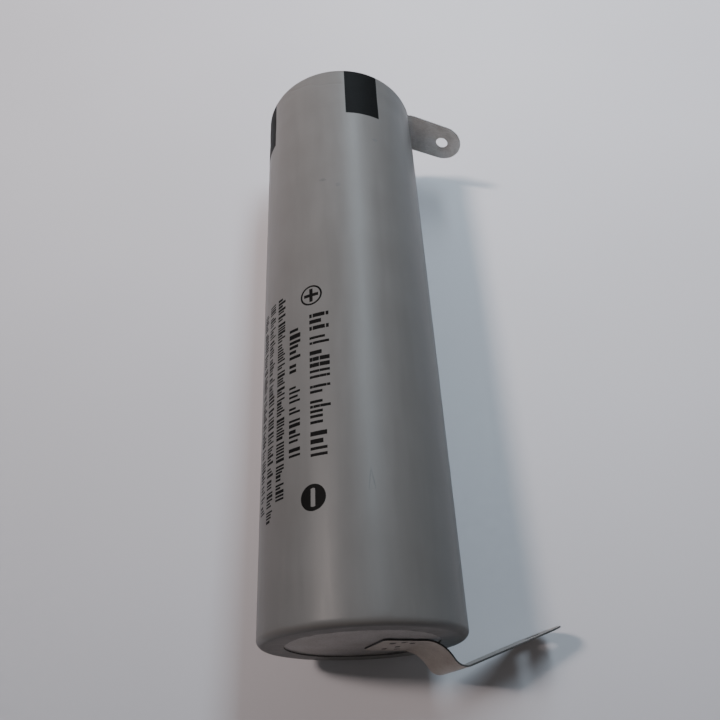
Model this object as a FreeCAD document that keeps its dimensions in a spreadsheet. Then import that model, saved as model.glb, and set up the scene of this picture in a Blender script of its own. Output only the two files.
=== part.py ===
import FreeCAD, Part
import math
import os
import re

import Sketcher
from FreeCAD import Placement, Rotation, Vector

# A round lithium-ion cell of the 18 by 65 mm format, lying on its side, with a solder tab on each end.
# Frame: +Y runs along the cell to its positive end, +Z is up, and the origin is the middle of the axis.
# All sizes are in millimetres. Heights named *_y are places along the cell's axis.

SIZES = {
    # heat-shrink sleeve and its folded-in lips
    "sleeve_radius": 9.225,
    "sleeve_wall": 0.11,
    "sleeve_negative_y": -32.70,
    "sleeve_positive_y": 32.50,
    "sleeve_dip": 0.10,
    "lip_radius_negative": 6.80,
    "lip_radius_positive": 7.30,
    "corner_round_negative": 0.65,
    "corner_round_positive": 0.90,
    # deep-drawn steel can
    "can_radius": 9.085,
    "can_wall": 0.25,
    "can_floor": 0.30,
    "can_bottom_y": -32.57,
    "can_top_y": 32.17,
    "can_round_bottom": 0.55,
    "can_round_top": 0.80,
    "crimp_radius": 6.60,
    "bead_y": 28.0,
    "bead_depth": 1.10,
    "bead_half_mouth": 1.30,
    "bead_half_root": 0.45,
    # insulating washer under the sleeve's positive lip
    "washer_radius": 8.40,
    "washer_bore": 5.40,
    "washer_y": 32.18,
    "washer_thick": 0.20,
    # positive cap, shaped like a hat with a wide flat crown
    "cap_top_y": 32.65,
    "cap_crown": 4.20,
    "cap_shoulder": 5.40,
    "cap_flange": 7.40,
    "cap_flange_y": 31.20,
    "cap_wall": 0.38,
    "cap_vent_radius": 0.75,
    "cap_vent_place": 4.90,
    # stack under the cap, from the top down
    "stack_radius": 7.40,
    "ptc_bore": 4.60,
    "ptc_y": 30.42,
    "ptc_thick": 0.38,
    "vent_y": 30.16,
    "vent_thick": 0.24,
    "vent_rim_bore": 3.10,
    "vent_panel_radius": 3.00,
    "vent_boss_radius": 0.90,
    "cid_ring_bore": 5.20,
    "cid_ring_y": 29.82,
    "cid_ring_thick": 0.32,
    "cid_plate_radius": 7.20,
    "cid_plate_y": 29.40,
    "cid_plate_thick": 0.40,
    "cid_hole_radius": 0.70,
    "cid_hole_place": 4.20,
    # sealing gasket around the stack
    "gasket_radius": 8.78,
    "gasket_bottom_y": 28.95,
    "gasket_top_y": 31.88,
    "gasket_shelf": 0.43,
    "gasket_bore": 6.40,
    "gasket_lip_bore": 6.75,
    "gasket_inner": 7.45,
    "gasket_round": 0.50,
    # insulating discs above and below the winding
    "disc_radius": 8.55,
    "disc_thick": 0.24,
    "top_disc_y": 25.95,
    "bottom_disc_y": -32.08,
    "disc_bore": 1.60,
    "lead_slot_place": 4.20,
    "lead_slot_width": 1.00,
    "lead_slot_length": 3.60,
    # winding
    "pin_radius": 1.50,
    "pin_wall": 0.25,
    "pin_bottom_y": -31.80,
    "pin_length": 57.50,
    "winding_radius": 1.75,
    "winding_pitch": 0.68,
    "winding_turns": 9.0,
    "foil_thick": 0.20,
    "separator_thick": 0.06,
    "layer_gap": 0.04,
    "separator_bottom_y": -31.80,
    "separator_length": 57.50,
    "anode_inset": 0.50,
    "cathode_inset": 1.00,
    "tape_radius": 8.53,
    "tape_thick": 0.06,
    "tape_length": 44.0,
    "tape_arc": 130.0,
    # leads inside the can
    "lead_thick": 0.08,
    "anode_lead_width": 4.0,
    "anode_lead_back": 1.0,
    "anode_lead_radius": 8.70,
    "anode_lead_y": -32.20,
    "anode_lead_height": 12.0,
    "anode_lead_arc": 26.0,
    "cathode_lead_width": 2.4,
    "cathode_lead_back": 1.0,
    "cathode_lead_radius": 4.27,
    "cathode_lead_bottom_y": 24.72,
    "cathode_lead_top_y": 29.38,
    "cathode_lead_arc": 32.0,
    # solder tabs: strip, fold line and tip hole
    "tab_thick": 0.15,
    "tab_hole_radius": 0.80,
    "tab_taper": 12.0,
    "fold_gap": 0.20,
    "weld_dent_radius": 0.35,
    "weld_dent_depth": 0.05,
    "weld_pitch": 1.40,
    # negative tab
    "negative_tab_droop": 21.5,
    "negative_tab_start": 1.0,
    "negative_tab_fold": 4.0,
    "negative_tab_base": 2.45,
    "negative_tab_tip": 2.85,
    "negative_run_first": 0.73,
    "negative_bend_out": 3.00,
    "negative_angle_out": 56.3,
    "negative_run_middle": 0.15,
    "negative_bend_back": 1.35,
    "negative_angle_back": 18.7,
    "negative_run_last": 8.90,
    # positive tab
    "positive_tab_droop": 8.5,
    "positive_tab_start": -2.6,
    "positive_tab_fold": 5.0,
    "positive_tab_base": 2.95,
    "positive_tab_tip": 2.55,
    "positive_run_first": 3.90,
    "positive_bend": 2.0,
    "positive_angle": 20.0,
    "positive_run_last": 4.45,
}

VENT_HOLES = 4
CID_HOLES = 6
POINTS_PER_TURN = 20
AXIS = "0 mm"
FULL_TURN = "360 deg"

doc = FreeCAD.newDocument("cylindrical_cell")
sheet = doc.addObject("Spreadsheet::Sheet", "Sizes")
for row, (alias, value) in enumerate(SIZES.items(), start=1):
    sheet.set("A%d" % row, alias)
    sheet.set("B%d" % row, str(value))
    sheet.setAlias("B%d" % row, alias)
doc.recompute()

NODES = []


def bound(text):
    """The text of an expression whose words, apart from the unit deg, are the sheet's aliases."""
    return re.sub(r"\b(?!deg\b)[a-z_]{3,}", lambda word: "Sizes." + word.group(), text)


def add_node(piece, name):
    piece.Label = name
    NODES.append(piece)
    return piece


# ---------------------------------------------------------------- sketches and bodies


def new_body(name, placement=Placement()):
    body = doc.addObject("PartDesign::Body", name)
    body.Placement = placement
    return add_node(body, name)


def origin_plane(body, role):
    return next(item for item in body.Origin.OriginFeatures if item.Role == role)


def new_sketch(body, name, role, offset=Placement()):
    sketch = body.newObject("Sketcher::SketchObject", name)
    sketch.AttachmentSupport = [(origin_plane(body, role), "")]
    sketch.MapMode = "FlatFace"
    sketch.AttachmentOffset = offset
    return sketch


def bind_size(sketch, kind, where, start_value, text):
    """Add a dimension to a sketch and bind it to the sheet."""
    index = sketch.addConstraint(Sketcher.Constraint(kind, *where, start_value))
    sketch.setExpression("Constraints[%d]" % index, bound(text))


def polygon(sketch, corners):
    """A closed outline whose corners are pairs of expressions, each held at its own distances."""
    count = len(corners)
    rough = [
        Vector(6 + 5 * math.cos(2 * math.pi * step / count), 5 * math.sin(2 * math.pi * step / count), 0)
        for step in range(count)
    ]
    lines = [
        sketch.addGeometry(Part.LineSegment(rough[step], rough[(step + 1) % count]))
        for step in range(count)
    ]
    for step, line in enumerate(lines):
        sketch.addConstraint(Sketcher.Constraint("Coincident", line, 2, lines[(step + 1) % count], 1))
    for step, line in enumerate(lines):
        across, along = corners[step]
        bind_size(sketch, "DistanceX", (line, 1), rough[step].x, across)
        bind_size(sketch, "DistanceY", (line, 1), rough[step].y, along)


def circle(sketch, across, along, radius):
    """A circle whose centre and radius are expressions."""
    item = sketch.addGeometry(Part.Circle(Vector(1, 1, 0), Vector(0, 0, 1), 1))
    bind_size(sketch, "DistanceX", (item, 3), 1, across)
    bind_size(sketch, "DistanceY", (item, 3), 1, along)
    bind_size(sketch, "Radius", (item,), 1, radius)


def turned_body(name, corners):
    """A body turned about the cell's axis from corners given as (radius, height)."""
    body = new_body(name)
    sketch = new_sketch(body, name + "_profile", "XY_Plane")
    polygon(sketch, corners)
    turn = body.newObject("PartDesign::Revolution", name + "_turn")
    turn.Profile = sketch
    turn.ReferenceAxis = (sketch, ["V_Axis"])
    turn.Angle = 360
    sketch.Visibility = False
    doc.recompute()
    return body


def ring_body(name, bore, radius, bottom, thick):
    """A flat ring, given as expressions."""
    top = "%s + %s" % (bottom, thick)
    return turned_body(name, [(bore, bottom), (radius, bottom), (radius, top), (bore, top)])


def round_edges(body, places, radius):
    """Fillet the circular edges that lie at the given places, each a radius and a height."""
    base = body.Tip
    names = []
    for number, edge in enumerate(base.Shape.Edges, start=1):
        if not isinstance(edge.Curve, Part.Circle):
            continue
        at = (edge.Curve.Radius, edge.Curve.Center.y)
        if any(math.dist(at, place) < 1e-4 for place in places):
            names.append("Edge%d" % number)
    if len(names) != len(places):
        raise RuntimeError("%s: %d edges found, %d wanted" % (body.Label, len(names), len(places)))
    fillet = body.newObject("PartDesign::Fillet", body.Name + "_round")
    fillet.Base = (base, names)
    fillet.setExpression("Radius", bound(radius))
    doc.recompute()
    return fillet


def cut_through(body, sketch, name):
    """Pocket a sketch right through a body, both ways, and make sure that it cuts."""
    before = body.Shape.Volume
    pocket = body.newObject("PartDesign::Pocket", name)
    pocket.Profile = sketch
    pocket.Type = "ThroughAll"
    pocket.Midplane = True
    sketch.Visibility = False
    doc.recompute()
    if body.Shape.Volume > before - 1e-6:
        raise RuntimeError(name + " cuts nothing")
    return pocket


def pattern_round_axis(body, feature, count):
    """Repeat a feature evenly round the cell's axis."""
    pattern = body.newObject("PartDesign::PolarPattern", feature.Name + "_pattern")
    pattern.Originals = [feature]
    pattern.Axis = (origin_plane(body, "Y_Axis"), [""])
    pattern.Angle = 360
    pattern.Occurrences = count
    body.Tip = pattern
    doc.recompute()
    return pattern


def holes_round_axis(body, place, radius, count):
    """Round holes along the cell's direction, evenly spaced round its axis."""
    sketch = new_sketch(body, body.Name + "_hole", "XZ_Plane")
    circle(sketch, place, AXIS, radius)
    feature = cut_through(body, sketch, body.Name + "_hole_cut")
    before = body.Shape.Volume
    pattern_round_axis(body, feature, count)
    if body.Shape.Volume > before - 1e-6:
        raise RuntimeError(body.Label + ": the pattern cuts nothing")


# ---------------------------------------------------------------- wrapping and can


def make_sleeve():
    inner = "sleeve_radius - sleeve_wall"
    floor = "sleeve_negative_y + sleeve_wall"
    ceiling = "sleeve_positive_y - sleeve_wall"
    mouth = ["bead_y - bead_half_mouth", "bead_y - bead_half_root"]
    mouth += ["bead_y + bead_half_root", "bead_y + bead_half_mouth"]
    body = turned_body("heat_shrink_sleeve", [
        ("lip_radius_negative", "sleeve_negative_y"),
        ("sleeve_radius", "sleeve_negative_y"),
        ("sleeve_radius", mouth[0]),
        ("sleeve_radius - sleeve_dip", mouth[1]),
        ("sleeve_radius - sleeve_dip", mouth[2]),
        ("sleeve_radius", mouth[3]),
        ("sleeve_radius", "sleeve_positive_y"),
        ("lip_radius_positive", "sleeve_positive_y"),
        ("lip_radius_positive", ceiling),
        (inner, ceiling),
        (inner, mouth[3]),
        (inner + " - sleeve_dip", mouth[2]),
        (inner + " - sleeve_dip", mouth[1]),
        (inner, mouth[0]),
        (inner, floor),
        ("lip_radius_negative", floor),
    ])
    outer_radius = SIZES["sleeve_radius"]
    inner_radius = outer_radius - SIZES["sleeve_wall"]
    for end, inwards in (("negative", 1), ("positive", -1)):
        outside = SIZES["sleeve_%s_y" % end]
        inside = outside + inwards * SIZES["sleeve_wall"]
        round_edges(body, [(outer_radius, outside)], "corner_round_" + end)
        round_edges(body, [(inner_radius, inside)], "corner_round_%s - sleeve_wall" % end)


def make_can():
    inner = "can_radius - can_wall"
    root = "can_radius - bead_depth"
    body = turned_body("steel_can", [
        (AXIS, "can_bottom_y"),
        ("can_radius", "can_bottom_y"),
        ("can_radius", "bead_y - bead_half_mouth"),
        (root, "bead_y - bead_half_root"),
        (root, "bead_y + bead_half_root"),
        ("can_radius", "bead_y + bead_half_mouth"),
        ("can_radius", "can_top_y"),
        ("crimp_radius", "can_top_y"),
        ("crimp_radius", "can_top_y - can_wall"),
        (inner, "can_top_y - can_wall"),
        (inner, "bead_y + bead_half_mouth + can_wall / 2"),
        (root + " - can_wall", "bead_y + bead_half_root + can_wall / 2"),
        (root + " - can_wall", "bead_y - bead_half_root - can_wall / 2"),
        (inner, "bead_y - bead_half_mouth - can_wall / 2"),
        (inner, "can_bottom_y + can_floor"),
        (AXIS, "can_bottom_y + can_floor"),
    ])
    outer_radius = SIZES["can_radius"]
    inner_radius = outer_radius - SIZES["can_wall"]
    bottom = SIZES["can_bottom_y"]
    top = SIZES["can_top_y"]
    round_edges(body, [(outer_radius, bottom)], "can_round_bottom")
    round_edges(body, [(inner_radius, bottom + SIZES["can_floor"])], "can_round_bottom - can_wall")
    round_edges(body, [(outer_radius, top)], "can_round_top")
    round_edges(body, [(inner_radius, top - SIZES["can_wall"])], "can_round_top - can_wall")


def make_washer():
    ring_body("insulating_washer", "washer_bore", "washer_radius", "washer_y", "washer_thick")


# ---------------------------------------------------------------- cap stack


def make_cap():
    body = turned_body("positive_cap", [
        (AXIS, "cap_top_y"),
        ("cap_crown", "cap_top_y"),
        ("cap_shoulder", "cap_flange_y"),
        ("cap_flange", "cap_flange_y"),
        ("cap_flange", "cap_flange_y - cap_wall"),
        ("cap_shoulder - cap_wall", "cap_flange_y - cap_wall"),
        ("cap_crown - cap_wall", "cap_top_y - cap_wall"),
        (AXIS, "cap_top_y - cap_wall"),
    ])
    crown_edge = (SIZES["cap_crown"], SIZES["cap_top_y"])
    round_edges(body, [crown_edge], "cap_wall / 2")
    holes_round_axis(body, "cap_vent_place", "cap_vent_radius", VENT_HOLES)


def make_stack_rings():
    ring_body("ptc_ring", "ptc_bore", "stack_radius", "ptc_y", "ptc_thick")
    ring_body("vent_disc", "vent_rim_bore", "stack_radius", "vent_y", "vent_thick")
    ring_body("cid_insulating_ring", "cid_ring_bore", "stack_radius", "cid_ring_y", "cid_ring_thick")


def make_vent_panel():
    boss_bottom = "cid_plate_y + cid_plate_thick + fold_gap / 4"
    turned_body("vent_panel", [
        (AXIS, "vent_y + vent_thick"),
        ("vent_panel_radius", "vent_y + vent_thick"),
        ("vent_panel_radius", "vent_y"),
        ("vent_boss_radius", "vent_y"),
        ("vent_boss_radius", boss_bottom),
        (AXIS, boss_bottom),
    ])


def make_cid_plate():
    body = ring_body("cid_plate", AXIS, "cid_plate_radius", "cid_plate_y", "cid_plate_thick")
    holes_round_axis(body, "cid_hole_place", "cid_hole_radius", CID_HOLES)


def make_gasket():
    body = turned_body("sealing_gasket", [
        ("gasket_bore", "gasket_bottom_y"),
        ("gasket_radius - bead_half_mouth", "gasket_bottom_y"),
        ("gasket_radius", "gasket_bottom_y + bead_half_mouth / 2"),
        ("gasket_radius", "gasket_top_y"),
        ("gasket_lip_bore", "gasket_top_y"),
        ("gasket_lip_bore", "cap_flange_y + layer_gap"),
        ("gasket_inner", "cap_flange_y + layer_gap"),
        ("gasket_inner", "gasket_bottom_y + gasket_shelf"),
        ("gasket_bore", "gasket_bottom_y + gasket_shelf"),
    ])
    round_edges(body, [(SIZES["gasket_radius"], SIZES["gasket_top_y"])], "gasket_round")


# ---------------------------------------------------------------- winding


def make_insulating_discs():
    ring_body("bottom_insulator", "disc_bore", "disc_radius", "bottom_disc_y", "disc_thick")
    top = ring_body("top_insulator", "disc_bore", "disc_radius", "top_disc_y", "disc_thick")
    sketch = new_sketch(top, "top_insulator_slot", "XZ_Plane")
    near = "lead_slot_place - lead_slot_width / 2"
    far = "lead_slot_place + lead_slot_width / 2"
    side = "lead_slot_length / 2"
    polygon(sketch, [(near, "-" + side), (far, "-" + side), (far, side), (near, side)])
    cut_through(top, sketch, "top_insulator_slot_cut")


def make_centre_pin():
    ring_body("centre_pin", "pin_radius - pin_wall", "pin_radius", "pin_bottom_y", "pin_length")


def spiral_edge(start_radius, height):
    """One face line of a wound layer: a spiral in the plane at the given height."""
    steps = int(SIZES["winding_turns"] * POINTS_PER_TURN)
    points = []
    for step in range(steps + 1):
        turns = step / POINTS_PER_TURN
        radius = start_radius + SIZES["winding_pitch"] * turns
        angle = 2 * math.pi * turns
        points.append(Vector(radius * math.cos(angle), height, radius * math.sin(angle)))
    curve = Part.BSplineCurve()
    curve.interpolate(points)
    return curve.toShape(), points[0], points[-1]


def wound_layer(name, depth, thick, inset):
    """A foil or film wound with the winding's pitch, depth being its place between two turns."""
    bottom = SIZES["separator_bottom_y"] + inset
    length = SIZES["separator_length"] - 2 * inset
    inner_radius = SIZES["winding_radius"] + depth
    inner, inner_start, inner_end = spiral_edge(inner_radius, bottom)
    outer, outer_start, outer_end = spiral_edge(inner_radius + thick, bottom)
    first = Part.LineSegment(inner_start, outer_start).toShape()
    last = Part.LineSegment(inner_end, outer_end).toShape()
    outline = Part.Wire(Part.__sortEdges__([inner, last, outer, first]))
    layer = doc.addObject("Part::Feature", name)
    layer.Shape = Part.Face(outline).extrude(Vector(0, length, 0))
    layer.Placement = Placement()
    add_node(layer, name)


def make_winding():
    gap = SIZES["layer_gap"]
    foil = SIZES["foil_thick"]
    film = SIZES["separator_thick"]
    wound_layer("anode_foil", 0, foil, SIZES["anode_inset"])
    wound_layer("separator_inner", foil + gap, film, 0)
    wound_layer("cathode_foil", foil + film + 2 * gap, foil, SIZES["cathode_inset"])
    wound_layer("separator_outer", 2 * foil + film + 3 * gap, film, 0)


# ---------------------------------------------------------------- curved strips inside the can


def axis_cylinder(name, radius, height, arc, bottom):
    """A cylinder, or a sector of one centred on +X, along the cell's axis."""
    item = doc.addObject("Part::Cylinder", name)
    item.setExpression("Radius", bound(radius))
    item.setExpression("Height", bound(height))
    item.setExpression("Angle", bound(arc))
    start = -SIZES[arc] / 2 if arc in SIZES else 0
    turn = Rotation(Vector(1, 0, 0), -90) * Rotation(Vector(0, 0, 1), start)
    item.Placement = Placement(Vector(0, bottom, 0), turn)
    return item


def curved_strip(name, outer, thick, height, arc, bottom):
    """A strip bent round the cell's axis: one sector cut out of another."""
    cut = doc.addObject("Part::Cut", name)
    cut.Base = axis_cylinder(name + "_outer", outer, height, arc, bottom)
    cut.Tool = axis_cylinder(name + "_inner", "%s - %s" % (outer, thick), height, arc, bottom)
    return cut


def flat_strip(name, back, length, width, bottom):
    """A flat strip along X that starts behind the axis."""
    box = doc.addObject("Part::Box", name)
    box.setExpression("Length", bound("%s + %s" % (back, length)))
    box.setExpression("Width", bound("lead_thick"))
    box.setExpression("Height", bound(width))
    box.Placement = Placement(Vector(-SIZES[back], bottom, -SIZES[width] / 2), Rotation())
    return box


def make_closing_tape():
    bottom = -SIZES["tape_length"] / 2 + SIZES["bottom_disc_y"] + SIZES["separator_length"] / 2
    strip = curved_strip(
        "closing_tape", "tape_radius + tape_thick", "tape_thick", "tape_length", "tape_arc", bottom
    )
    add_node(strip, "closing_tape")


def make_anode_lead():
    bottom = SIZES["anode_lead_y"]
    leg = curved_strip(
        "anode_leg", "anode_lead_radius", "lead_thick", "anode_lead_height", "anode_lead_arc", bottom
    )
    foot = doc.addObject("Part::Common", "anode_lead_foot")
    foot.Base = flat_strip(
        "anode_strip", "anode_lead_back", "anode_lead_radius", "anode_lead_width", bottom
    )
    foot.Tool = axis_cylinder("anode_trim", "anode_lead_radius", "lead_thick", FULL_TURN, bottom)
    lead = doc.addObject("Part::Fuse", "anode_lead")
    lead.Base = leg
    lead.Tool = foot
    add_node(lead, "anode_lead")


def make_cathode_lead():
    bottom = SIZES["cathode_lead_bottom_y"]
    top = SIZES["cathode_lead_top_y"]
    leg = curved_strip(
        "cathode_leg", "cathode_lead_radius", "lead_thick",
        "cathode_lead_top_y - cathode_lead_bottom_y", "cathode_lead_arc", bottom
    )
    lead = doc.addObject("Part::Fuse", "cathode_lead")
    lead.Base = leg
    lead.Tool = flat_strip(
        "cathode_strip", "cathode_lead_back", "cathode_lead_radius - lead_thick / 2",
        "cathode_lead_width", top - SIZES["lead_thick"]
    )
    add_node(lead, "cathode_lead")


# ---------------------------------------------------------------- solder tabs


def tab_turn(end):
    """The tab's own frame: X runs along the strip, away from the axis and towards the ground."""
    return Placement(Vector(), Rotation(Vector(0, 1, 0), SIZES[end + "_tab_droop"]))


def tab_face(end):
    """The height of the face that the strip is welded to, and the direction out of it."""
    if end == "negative":
        return "can_bottom_y", -1
    return "cap_top_y", 1


def make_tab_foot(end):
    """The welded part of the strip, from its square end to the fold line, with four weld dents."""
    face, out = tab_face(end)
    start = end + "_tab_start"
    stop = end + "_tab_fold - fold_gap / 2"
    side = end + "_tab_base"
    body = new_body(end + "_tab_foot", tab_turn(end))
    level = Placement(Vector(0, 0, -SIZES[face]), Rotation())
    sketch = new_sketch(body, body.Name + "_outline", "XZ_Plane", level)
    polygon(sketch, [(start, "-" + side), (stop, "-" + side), (stop, side), (start, side)])
    pad = body.newObject("PartDesign::Pad", body.Name + "_pad")
    pad.Profile = sketch
    pad.setExpression("Length", bound("tab_thick"))
    pad.Reversed = out > 0
    sketch.Visibility = False
    doc.recompute()
    cut_weld_dents(body, end)


def cut_weld_dents(body, end):
    face, out = tab_face(end)
    top = SIZES[face] + out * SIZES["tab_thick"]
    middle = "(%s_tab_start + %s_tab_fold) / 2" % (end, end)
    sketch = new_sketch(
        body, body.Name + "_dents", "XZ_Plane", Placement(Vector(0, 0, -top), Rotation())
    )
    for along in ("- weld_pitch / 2", "+ weld_pitch / 2"):
        for across in ("-", ""):
            circle(sketch, "%s %s" % (middle, along), across + "weld_pitch / 2", "weld_dent_radius")
    before = body.Shape.Volume
    pocket = body.newObject("PartDesign::Pocket", body.Name + "_dent_cut")
    pocket.Profile = sketch
    pocket.setExpression("Length", bound("weld_dent_depth"))
    pocket.Reversed = out > 0
    sketch.Visibility = False
    doc.recompute()
    if body.Shape.Volume > before - 1e-6:
        raise RuntimeError(body.Label + ": the weld dents cut nothing")


def strip_path(sketch, start, height, out, runs, tip):
    """A line of straight runs joined by tangent arcs, in the strip's own side view.

    runs is a list of (length, bend radius after it, heading after the bend), heading being the
    angle out of the cell's end face. The last run has no bend, and goes on past the hole by the
    tip's radius. Returns the hole's place and the last heading.
    """
    point, heading = Vector(start[1], height[1], 0), 0.0
    previous = None
    for length, bend, turn_to in runs:
        along = Vector(math.cos(heading), out * math.sin(heading), 0)
        beyond = 0 if bend else SIZES[tip]
        text = length if bend else "%s + %s" % (length, tip)
        after = point + along * SIZES[length]
        line = sketch.addGeometry(Part.LineSegment(point, after + along * beyond))
        bind_size(sketch, "Distance", (line,), SIZES[length] + beyond, text)
        if previous is None:
            bind_size(sketch, "DistanceX", (line, 1), point.x, start[0])
            bind_size(sketch, "DistanceY", (line, 1), point.y, height[0])
            sketch.addConstraint(Sketcher.Constraint("Horizontal", line))
        else:
            arc, arc_end, angle_text = previous
            sketch.addConstraint(Sketcher.Constraint("Tangent", arc, arc_end, line, 1))
            bind_size(sketch, "Angle", (line,), out * heading, angle_text)
        point = after
        if bend is None:
            continue
        sign, angle_name = turn_to
        target = math.radians(sign * SIZES[angle_name])
        swing = out * (1 if target > heading else -1)
        radius = SIZES[bend]
        normal = Vector(-math.sin(out * heading), math.cos(out * heading), 0) * swing
        centre = point + normal * radius
        begin = math.atan2(point.y - centre.y, point.x - centre.x)
        finish = begin + swing * abs(target - heading)
        first, last = sorted((begin, finish))
        circle_line = Part.Circle(centre, Vector(0, 0, 1), radius)
        arc = sketch.addGeometry(Part.ArcOfCircle(circle_line, first, last))
        near, far = (1, 2) if swing > 0 else (2, 1)
        bind_size(sketch, "Radius", (arc,), radius, bend)
        sketch.addConstraint(Sketcher.Constraint("Tangent", line, 2, arc, near))
        angle_text = "%d deg * %s" % (out * sign, angle_name)
        previous = (arc, far, angle_text)
        point = centre + Vector(math.cos(finish), math.sin(finish), 0) * radius
        heading = target
    return point, heading


def make_tab_arm(end, runs):
    """The free part of the strip, bent clear of the cell, with a round tip and a hole in it."""
    face, out = tab_face(end)
    half = out * SIZES["tab_thick"] / 2
    start = ("%s_tab_fold + fold_gap / 2" % end, SIZES[end + "_tab_fold"] + SIZES["fold_gap"] / 2)
    middle = ("%s + %d * tab_thick / 2" % (face, out), SIZES[face] + half)
    body = new_body(end + "_tab_arm", tab_turn(end))

    path = new_sketch(body, body.Name + "_path", "XY_Plane")
    hole, heading = strip_path(path, start, middle, out, runs, end + "_tab_tip")

    across = Placement(Vector(0, 0, start[1]), Rotation())
    section = new_sketch(body, body.Name + "_section", "YZ_Plane", across)
    side = "(%s_tab_base + tab_hole_radius)" % end
    low = "%s - tab_thick / 2" % middle[0]
    high = "%s + tab_thick / 2" % middle[0]
    polygon(section, [(low, "-" + side), (high, "-" + side), (high, side), (low, side)])
    doc.recompute()

    sweep = body.newObject("PartDesign::AdditivePipe", body.Name + "_sweep")
    sweep.Profile = section
    sweep.Spine = (path, ["Edge%d" % number for number in range(1, len(path.Shape.Edges) + 1)])
    path.Visibility = False
    section.Visibility = False
    doc.recompute()

    # The outline is cut square to the last run, so that the tip and its hole come out round.
    tilt = Placement(hole_corner(hole), Rotation(Vector(0, 1, 0), math.degrees(heading) * out))
    trim_outline(body, end, tilt)
    sketch = new_sketch(body, body.Name + "_hole", "XZ_Plane", tilt)
    circle(sketch, AXIS, AXIS, "tab_hole_radius")
    cut_through(body, sketch, body.Name + "_hole_cut")
    return body, hole, heading


def hole_corner(hole):
    """A point of the strip's side view, in the axes of the XZ plane's sketches."""
    return Vector(hole.x, 0, -hole.y)


def trim_outline(body, end, tilt):
    """Cut away all that lies outside the strip's tapered sides and round tip."""
    sketch = new_sketch(body, body.Name + "_outline", "XZ_Plane", tilt)
    tip, base = end + "_tab_tip", end + "_tab_base"
    reach = SIZES["tab_taper"]
    slope = math.atan((SIZES[base] - SIZES[tip]) / reach)
    touch_x, touch_y = SIZES[tip] * math.sin(slope), SIZES[tip] * math.cos(slope)
    angle = math.pi / 2 - slope
    circle_line = Part.Circle(Vector(), Vector(0, 0, 1), SIZES[tip])
    arc = sketch.addGeometry(Part.ArcOfCircle(circle_line, -angle, angle))
    sketch.addConstraint(Sketcher.Constraint("Coincident", arc, 3, -1, 1))
    bind_size(sketch, "Radius", (arc,), SIZES[tip], tip)
    backs, sides = [], []
    for sign, sign_text, arc_end in ((1, "", 2), (-1, "-", 1)):
        back = Vector(-reach, sign * SIZES[base], 0)
        side = sketch.addGeometry(Part.LineSegment(back, Vector(touch_x, sign * touch_y, 0)))
        bind_size(sketch, "DistanceX", (side, 1), back.x, "-tab_taper")
        bind_size(sketch, "DistanceY", (side, 1), back.y, sign_text + base)
        sketch.addConstraint(Sketcher.Constraint("Tangent", side, 2, arc, arc_end))
        backs.append(back)
        sides.append(side)
    closing = sketch.addGeometry(Part.LineSegment(*backs))
    for closing_end, side in enumerate(sides, start=1):
        sketch.addConstraint(Sketcher.Constraint("Coincident", closing, closing_end, side, 1))
    near, low, far = "-1.1 * tab_taper", "-2 * tab_taper", "2 * tab_taper"
    polygon(sketch, [(near, low), (far, low), (far, far), (near, far)])
    cut_through(body, sketch, body.Name + "_outline_cut")


def make_negative_tab():
    make_tab_foot("negative")
    return make_tab_arm("negative", [
        ("negative_run_first", "negative_bend_out", (1, "negative_angle_out")),
        ("negative_run_middle", "negative_bend_back", (-1, "negative_angle_back")),
        ("negative_run_last", None, None),
    ])


def make_positive_tab():
    make_tab_foot("positive")
    return make_tab_arm("positive", [
        ("positive_run_first", "positive_bend", (-1, "positive_angle")),
        ("positive_run_last", None, None),
    ])


# ---------------------------------------------------------------- the cell


def check_and_write():
    doc.recompute()
    for item in doc.Objects:
        if "Invalid" in item.State or "Error" in item.State:
            raise RuntimeError("%s is %s" % (item.Name, item.State))
    for piece in NODES:
        if piece.Shape.isNull() or not piece.Shape.isValid() or not piece.Shape.Solids:
            raise RuntimeError(piece.Label + " has no valid shape")
    os.makedirs("parts", exist_ok=True)
    for piece in NODES:
        piece.Shape.exportStep("parts/%s.step" % piece.Label)


def report_tab(end, made):
    """Print where a tab's hole and its lowest point are, for the mounts and the ground."""
    body, hole, heading = made
    turn = tab_turn(end)
    place = turn.multVec(hole)
    face, out = tab_face(end)
    axis = turn.Rotation.multVec(Vector(-math.sin(heading), out * math.cos(heading), 0))
    fold = turn.multVec(Vector(SIZES[end + "_tab_fold"], SIZES[face], 0))
    print("%s tab: hole %s axis %s fold %s lowest %.3f volume %.3f" % (
        end, tuple(round(v, 4) for v in place), tuple(round(v, 5) for v in axis),
        tuple(round(v, 4) for v in fold), body.Shape.BoundBox.ZMin, body.Shape.Volume
    ))


make_sleeve()
make_can()
make_washer()
make_cap()
make_stack_rings()
make_vent_panel()
make_cid_plate()
make_gasket()
make_insulating_discs()
make_centre_pin()
make_winding()
make_closing_tape()
make_anode_lead()
make_cathode_lead()
report_tab("negative", make_negative_tab())
report_tab("positive", make_positive_tab())
check_and_write()
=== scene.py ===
import math
import random

import bmesh
import bpy
from mathutils import Matrix, Vector, noise


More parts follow.
